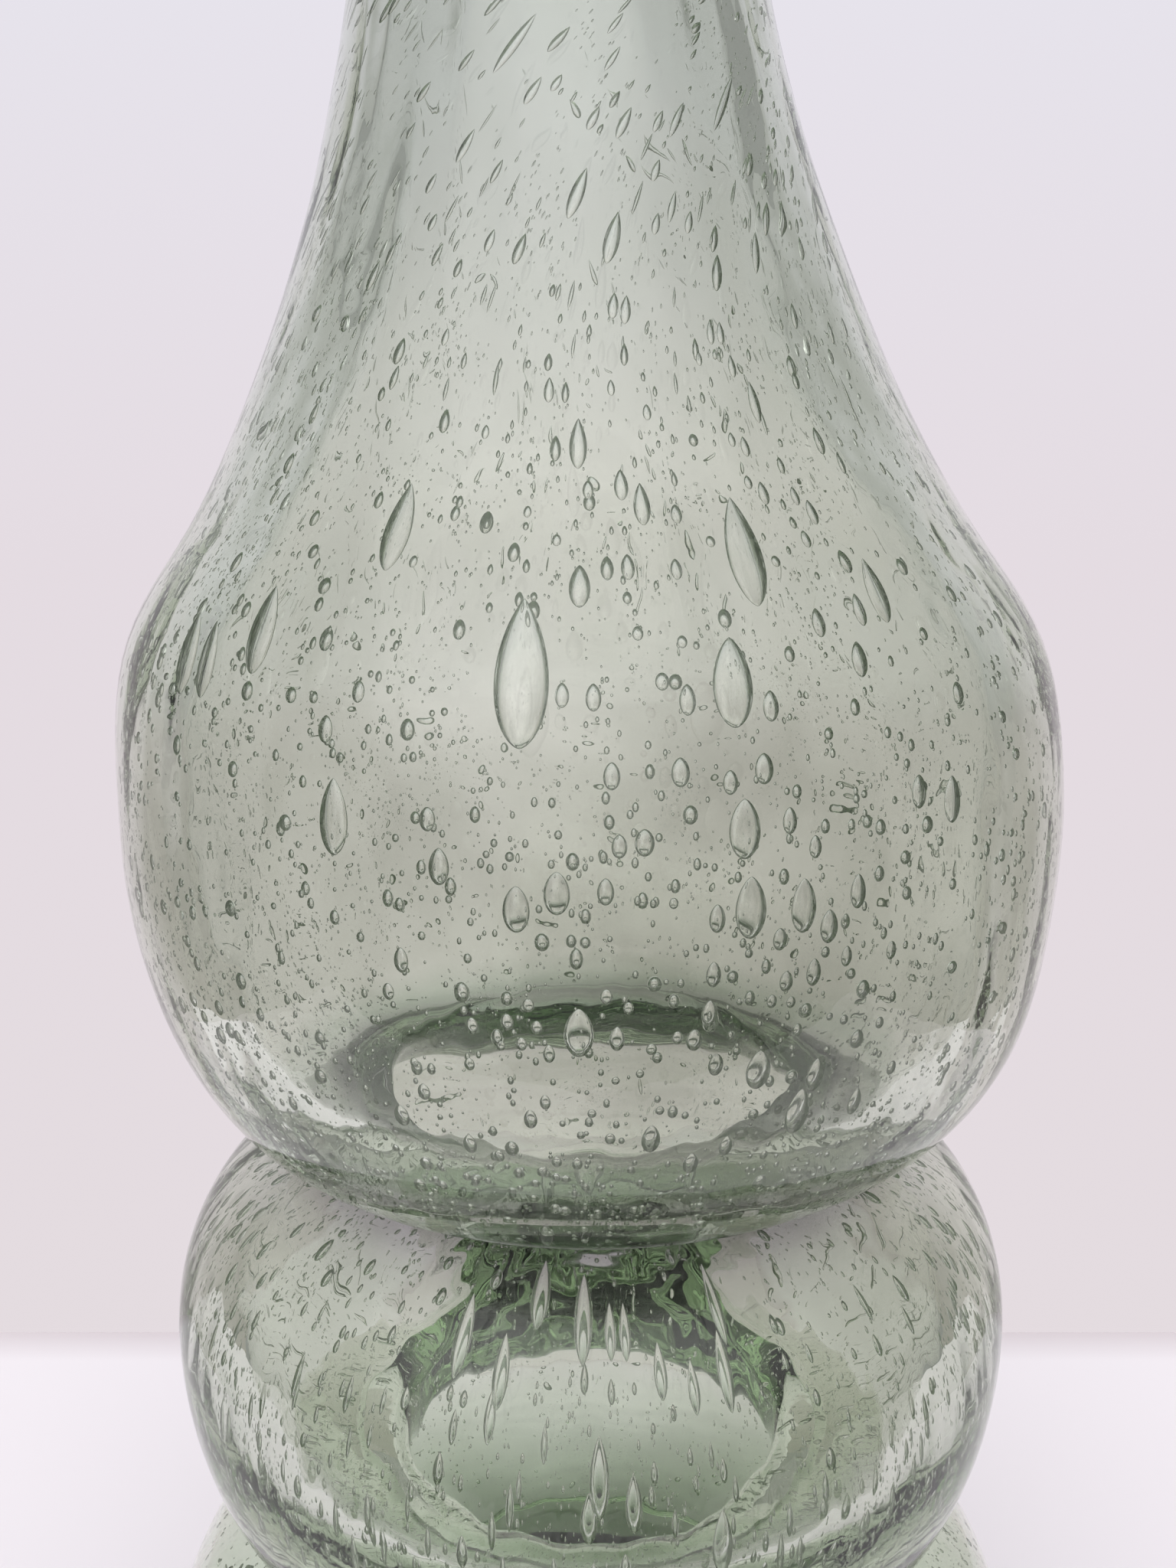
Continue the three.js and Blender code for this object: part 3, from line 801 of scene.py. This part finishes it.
def buried(wall, run, angle, width, stretch, chance):
    """Centres and sizes of bubbles at chance depths in the wall, drawn out where the glass was."""
    point, _, _, outward = wall.frames(run, angle)
    longer, narrower = drawn_out(point[:, 2], chance)
    width = width * narrower
    longer = longer * stretch
    thickness = wall.at(run)[4]
    most = thickness - OUTER_MARGIN - INNER_MARGIN - SPARE_ROOM
    depth = np.minimum(width * chance.uniform(*DEPTH_SHARES, len(width)), most)
    room = np.minimum(thickness, DEEPEST) - OUTER_MARGIN - INNER_MARGIN - depth
    below = OUTER_MARGIN + depth / 2 + room * chance.uniform(0, 1, len(width))
    centres = point - outward * below[:, None]
    return centres, np.stack([width * longer, width, depth], axis=1)


def chance_bubbles(name, wall, run, angle, width, grid, keep_off, chance, material, stretch=1.0):
    """Bubbles at the given places, left out where they would run into the larger ones already there."""
    centres, sizes = buried(wall, run, angle, width, stretch, chance)
    taken, reach = keep_off
    gaps = np.linalg.norm(centres[:, None] - taken[None], axis=2) - reach[None] / 2 - sizes[:, :1] / 2
    clear = gaps.min(axis=1) > 0
    axes = [axis[clear] for axis in bubble_axes(wall, run, angle)]
    ends = bubble_ends(sizes[:, 0] / sizes[:, 1])
    bubbles(name, centres[clear], axes, sizes[clear], ends[clear], *grid, material)
    return np.concatenate([taken, centres[clear]]), np.concatenate([reach, sizes[clear, 0]])


def uneven_widths(usual, spread, least, most, count, chance):
    """Widths whose logarithms lie about the usual one's in a bell curve, kept between a least and a most."""
    return np.clip(chance.lognormal(math.log(usual), spread, count), least, most)


def fill_glass(profile, material):
    """All the bubbles: those seen, others at chance places, and seeds gathered in streaks."""
    wall = OuterWall(profile)
    chance = np.random.default_rng(SEED)
    keep_off = seen_bubbles(wall, material)
    run, angle = scattered(wall, MEDIUM_BUBBLES, chance)
    width = chance.uniform(*MEDIUM_WIDTHS, len(run))
    name = "medium_bubbles"
    keep_off = chance_bubbles(name, wall, run, angle, width, MEDIUM_GRID, keep_off, chance, material)
    run, angle = scattered(wall, NECK_THREADS, chance, low=TWIST_START_Z)
    width = chance.uniform(*NECK_THREAD_WIDTHS, len(run))
    chance_bubbles("neck_threads", wall, run, angle, width, NECK_THREAD_GRID, keep_off, chance, material,
                   NECK_THREAD_STRETCH)
    run, angle = scattered(wall, MIDDLE_THREADS, chance, *MIDDLE_THREAD_HEIGHTS)
    width = chance.uniform(*MIDDLE_THREAD_WIDTHS, len(run))
    chance_bubbles("middle_threads", wall, run, angle, width, MIDDLE_THREAD_GRID, keep_off, chance, material,
                   MIDDLE_THREAD_STRETCH)
    run, angle = scattered(wall, LOW_BUBBLES, chance, *LOW_HEIGHTS)
    width = uneven_widths(*LOW_WIDTHS, len(run), chance)
    chance_bubbles("low_bubbles", wall, run, angle, width, LOW_GRID, keep_off, chance, material)
    for index in range(SMALL_PIECES):
        run, angle = scattered(wall, SMALL_BUBBLES // SMALL_PIECES, chance)
        width = uneven_widths(*SMALL_WIDTHS, len(run), chance)
        name = f"small_bubbles_{index + 1}"
        chance_bubbles(name, wall, run, angle, width, SMALL_GRID, keep_off, chance, material)
    for index in range(SEED_PIECES):
        centre_run, centre_angle = scattered(wall, SEED_STREAKS // SEED_PIECES, chance)
        pick = chance.integers(0, len(centre_run), SEEDS // SEED_PIECES)
        run = centre_run[pick] + chance.normal(0, STREAK_LENGTH, len(pick))
        run = np.clip(run, 0, wall.run[-LIP_POINTS])
        angle = centre_angle[pick] + chance.normal(0, STREAK_TURN, len(pick))
        width = chance.uniform(*SEED_WIDTHS, len(pick))
        name = f"seed_bubbles_{index + 1}"
        chance_bubbles(name, wall, run, angle, width, SEED_GRID, keep_off, chance, material)


# Materials

def noise(tree, place, scale, detail):
    """Noise node read at the given coordinates, with so many features a metre."""
    node = tree.nodes.new("ShaderNodeTexNoise")
    node.inputs["Scale"].default_value = scale
    node.inputs["Detail"].default_value = detail
    tree.links.new(place, node.inputs["Vector"])
    return node.outputs["Fac"]


def ramp(tree, value, stops):
    """Colour that changes with a value from 0 to 1 through the given (value, colour) stops."""
    node = tree.nodes.new("ShaderNodeValToRGB")
    elements = node.color_ramp.elements
    elements[0].position, elements[-1].position = stops[0][0], stops[-1][0]
    for position, _ in stops[1:-1]:
        elements.new(position)
    for element, (_, colour) in zip(elements, stops):
        element.color = (*colour, 1)
    tree.links.new(value, node.inputs["Fac"])
    return node.outputs["Color"]


def span(tree, value, low, high):
    """Value brought from between low and high to between 0 and 1."""
    node = tree.nodes.new("ShaderNodeMapRange")
    node.inputs["From Min"].default_value = low
    node.inputs["From Max"].default_value = high
    tree.links.new(value, node.inputs["Value"])
    return node.outputs["Result"]


def multiplied(tree, first, second, share=None):
    """First colour times the second, or times a share of it from 0 to 1."""
    node = tree.nodes.new("ShaderNodeMix")
    node.data_type = "RGBA"
    node.blend_type = "MULTIPLY"
    sockets = [i for i in node.inputs if i.enabled]
    sockets[0].default_value = 1.0
    for source, socket in zip((share, first, second), sockets):
        if source:
            tree.links.new(source, socket)
    return next(o for o in node.outputs if o.enabled)


def new_material(name):
    """Empty material, with its tree and its object coordinates whole and split into axes."""
    material = bpy.data.materials.new(name)
    material.use_nodes = True
    tree = material.node_tree
    place = tree.nodes.new("ShaderNodeTexCoord").outputs["Object"]
    split = tree.nodes.new("ShaderNodeSeparateXYZ")
    tree.links.new(place, split.inputs["Vector"])
    return material, tree, place, split.outputs


def mapped(tree, place, change, amounts):
    """Coordinates after a change of scale or location."""
    node = tree.nodes.new("ShaderNodeMapping")
    node.inputs[change].default_value = amounts
    tree.links.new(place, node.inputs["Vector"])
    return node.outputs["Vector"]


def from_axis(tree, axes):
    """Distance from the upright axis: the length of the level part of the coordinates."""
    level = tree.nodes.new("ShaderNodeCombineXYZ")
    tree.links.new(axes["X"], level.inputs["X"])
    tree.links.new(axes["Y"], level.inputs["Y"])
    node = tree.nodes.new("ShaderNodeVectorMath")
    node.operation = "LENGTH"
    tree.links.new(level.outputs["Vector"], node.inputs[0])
    return node.outputs["Value"]


def glass_material():
    """Clear glass with streaks, smoky clouds that are partly painted shade, and faint cords.

    Its colour is the product of the streaks, the clouds, a tint by height with painted shade at the crease,
    the painted shade of the rim and crease, and painted shade from side to side. The light's path through the
    glass tints it further.
    """
    material, tree, place, axes = new_material("grey green glass")
    glass = tree.nodes["Principled BSDF"]
    glass.inputs["Roughness"].default_value = 0.0
    glass.inputs["IOR"].default_value = GLASS_IOR
    glass.inputs["Transmission Weight"].default_value = 1.0
    drawn = mapped(tree, place, "Scale", DRAWN_SCALE)
    clouds = mapped(tree, place, "Location", SMOKE_AND_SHADE_SHIFT)
    height = span(tree, axes["Z"], 0, HEIGHT * MM)
    away = span(tree, from_axis(tree, axes), 0, UPPER_RADIUS * MM)
    across = span(tree, axes["X"], -UPPER_RADIUS * MM, UPPER_RADIUS * MM)
    streaks = ramp(tree, noise(tree, drawn, *STREAK_NOISE), STREAKS)
    # Smoky clouds that are partly painted shade.
    smoke_and_shade = ramp(tree, noise(tree, clouds, *SMOKE_AND_SHADE_NOISE), SMOKE_AND_SHADE)
    colour = multiplied(tree, streaks, smoke_and_shade, ramp(tree, height, SMOKE_AND_SHADE_HEIGHTS))
    # Tints by height, with painted shade at the upper crease.
    colour = multiplied(tree, colour, ramp(tree, height, HEIGHT_TINTS_AND_SHADE))
    # Painted shade on the hole's rim and at the crease.
    colour = multiplied(tree, colour, ramp(tree, away, RING_SHADE), ramp(tree, height, RING_SHADE_HEIGHTS))
    colour = multiplied(tree, colour, ramp(tree, away, CREASE_SHADE), ramp(tree, height, CREASE_SHADE_HEIGHTS))
    # Painted shade, darker towards the right side.
    colour = multiplied(tree, colour, ramp(tree, across, SIDE_SHADE))
    tree.links.new(colour, glass.inputs["Base Color"])
    bump = tree.nodes.new("ShaderNodeBump")
    bump.inputs["Strength"].default_value = 1.0
    bump.inputs["Distance"].default_value = CORD_DEPTH
    tree.links.new(noise(tree, drawn, *CORD_NOISE), bump.inputs["Height"])
    tree.links.new(bump.outputs["Normal"], glass.inputs["Normal"])
    tint = tree.nodes.new("ShaderNodeVolumeAbsorption")
    tint.inputs["Color"].default_value = (*TINT, 1)
    tint.inputs["Density"].default_value = TINT_DENSITY
    tree.links.new(tint.outputs["Volume"], tree.nodes["Material Output"].inputs["Volume"])
    return material


def air_material():
    """Air in the glass: light bends the other way into it, so the index is the glass's inverse."""
    material, tree, place, _ = new_material("trapped air")
    tree.nodes.remove(tree.nodes["Principled BSDF"])
    air = tree.nodes.new("ShaderNodeBsdfGlass")
    air.inputs["Roughness"].default_value = 0.0
    air.inputs["IOR"].default_value = 1 / GLASS_IOR
    tree.links.new(ramp(tree, noise(tree, place, *FILM_NOISE), FILM), air.inputs["Color"])
    tree.links.new(air.outputs["BSDF"], tree.nodes["Material Output"].inputs["Surface"])
    return material


# Stage

def matt_material(name):
    """Matt material, with its tree, its axes and the inputs of its surface."""
    material, tree, _, axes = new_material(name)
    surface = tree.nodes["Principled BSDF"].inputs
    surface["Roughness"].default_value = MATT_ROUGHNESS
    surface["Specular IOR Level"].default_value = MATT_SPECULAR
    return material, tree, axes, surface


def board_material():
    """Pale matt board, with a painted shadow line along its far edge."""
    material, tree, axes, surface = matt_material("pale board")
    shades = ramp(tree, span(tree, axes["Y"], 0, BOARD_BACK), BOARD_COLOUR_AND_EDGE_SHADE)
    tree.links.new(shades, surface["Base Color"])
    return material


def backdrop_material():
    """Pale glowing backdrop, cooler towards its top, that fades into the room's grey at its sides."""
    material, tree, axes, surface = matt_material("pale backdrop")
    surface["Base Color"].default_value = (0, 0, 0, 1)
    surface["Emission Strength"].default_value = 1.0
    shades = ramp(tree, span(tree, axes["Y"], *BACKDROP_SPAN), BACKDROP_SHADES)
    across = span(tree, axes["X"], -BACKDROP_HALF_WIDTH, BACKDROP_HALF_WIDTH)
    colour = multiplied(tree, shades, ramp(tree, across, BACKDROP_SIDES))
    tree.links.new(colour, surface["Emission Color"])
    return material


def rectangle(name, corners, material):
    """Flat piece with four corners."""
    return mesh_piece(name, np.array(corners), np.arange(4), np.array([4]), material)


def photo_camera():
    """Camera where the photograph was taken, with its lens."""
    data = bpy.data.cameras.new("camera")
    data.sensor_width = SENSOR
    data.lens = FOCAL_PIXELS / PHOTO_HEIGHT * SENSOR
    data.clip_start = 0.005
    data.clip_end = 20
    camera = bpy.data.objects.new("camera", data)
    camera.location = (CAMERA_X * MM, CAMERA_Y * MM, CAMERA_Z * MM)
    camera.rotation_euler = (math.pi / 2 - CAMERA_PITCH, 0, 0)
    bpy.context.scene.collection.objects.link(camera)
    bpy.context.scene.camera = camera
    return camera


def room():
    """Grey room that grows bright towards a wide soft window high in front."""
    world = bpy.data.worlds.new("room")
    world.use_nodes = True
    tree = world.node_tree
    facing = tree.nodes.new("ShaderNodeVectorMath")
    facing.operation = "DOT_PRODUCT"
    facing.inputs[1].default_value = WINDOW_WAY
    tree.links.new(tree.nodes.new("ShaderNodeTexCoord").outputs["Generated"], facing.inputs[0])
    shades = ramp(tree, span(tree, facing.outputs["Value"], *WINDOW_SPAN), ROOM_SHADES)
    tree.links.new(shades, tree.nodes["Background"].inputs["Color"])
    return world


def studio(camera):
    """Pale board under the vase, a pale backdrop that stays opposite the camera, and a soft lamp overhead."""
    wide, front, back = BOARD_HALF_WIDTH, BOARD_FRONT, BOARD_BACK
    board = rectangle(
        "board",
        [(-wide, front, 0), (wide, front, 0), (wide, back, 0), (-wide, back, 0)],
        board_material(),
    )
    half, tall, away = BACKDROP_HALF_WIDTH, BACKDROP_HALF_HEIGHT, -BACKDROP_AWAY
    backdrop = rectangle(
        "backdrop",
        [(-half, -tall, away), (half, -tall, away), (half, tall, away), (-half, tall, away)],
        backdrop_material(),
    )
    backdrop.parent = camera
    lamp = bpy.data.lights.new("overhead", "AREA")
    lamp.shape = "SQUARE"
    lamp.size = LAMP_SIZE
    lamp.energy = LAMP_POWER
    lamp_object = bpy.data.objects.new("overhead", lamp)
    lamp_object.location = (0, 0, LAMP_HEIGHT)
    lamp_object.visible_glossy = False
    lamp_object.visible_transmission = False
    bpy.context.scene.collection.objects.link(lamp_object)
    bpy.context.scene.world = room()


glass_line = spaced(rounded(glass_profile(), CREASE_ROUNDING), SKIN_RINGS)
skin = glass_skin(glass_line, glass_material())
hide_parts(*SECTIONS)
fill_glass(glass_line, air_material())
studio(photo_camera())

scene = bpy.context.scene
scene.view_settings.view_transform = "Standard"
scene.cycles.max_bounces = 32
scene.cycles.transmission_bounces = 32
scene.cycles.glossy_bounces = 16
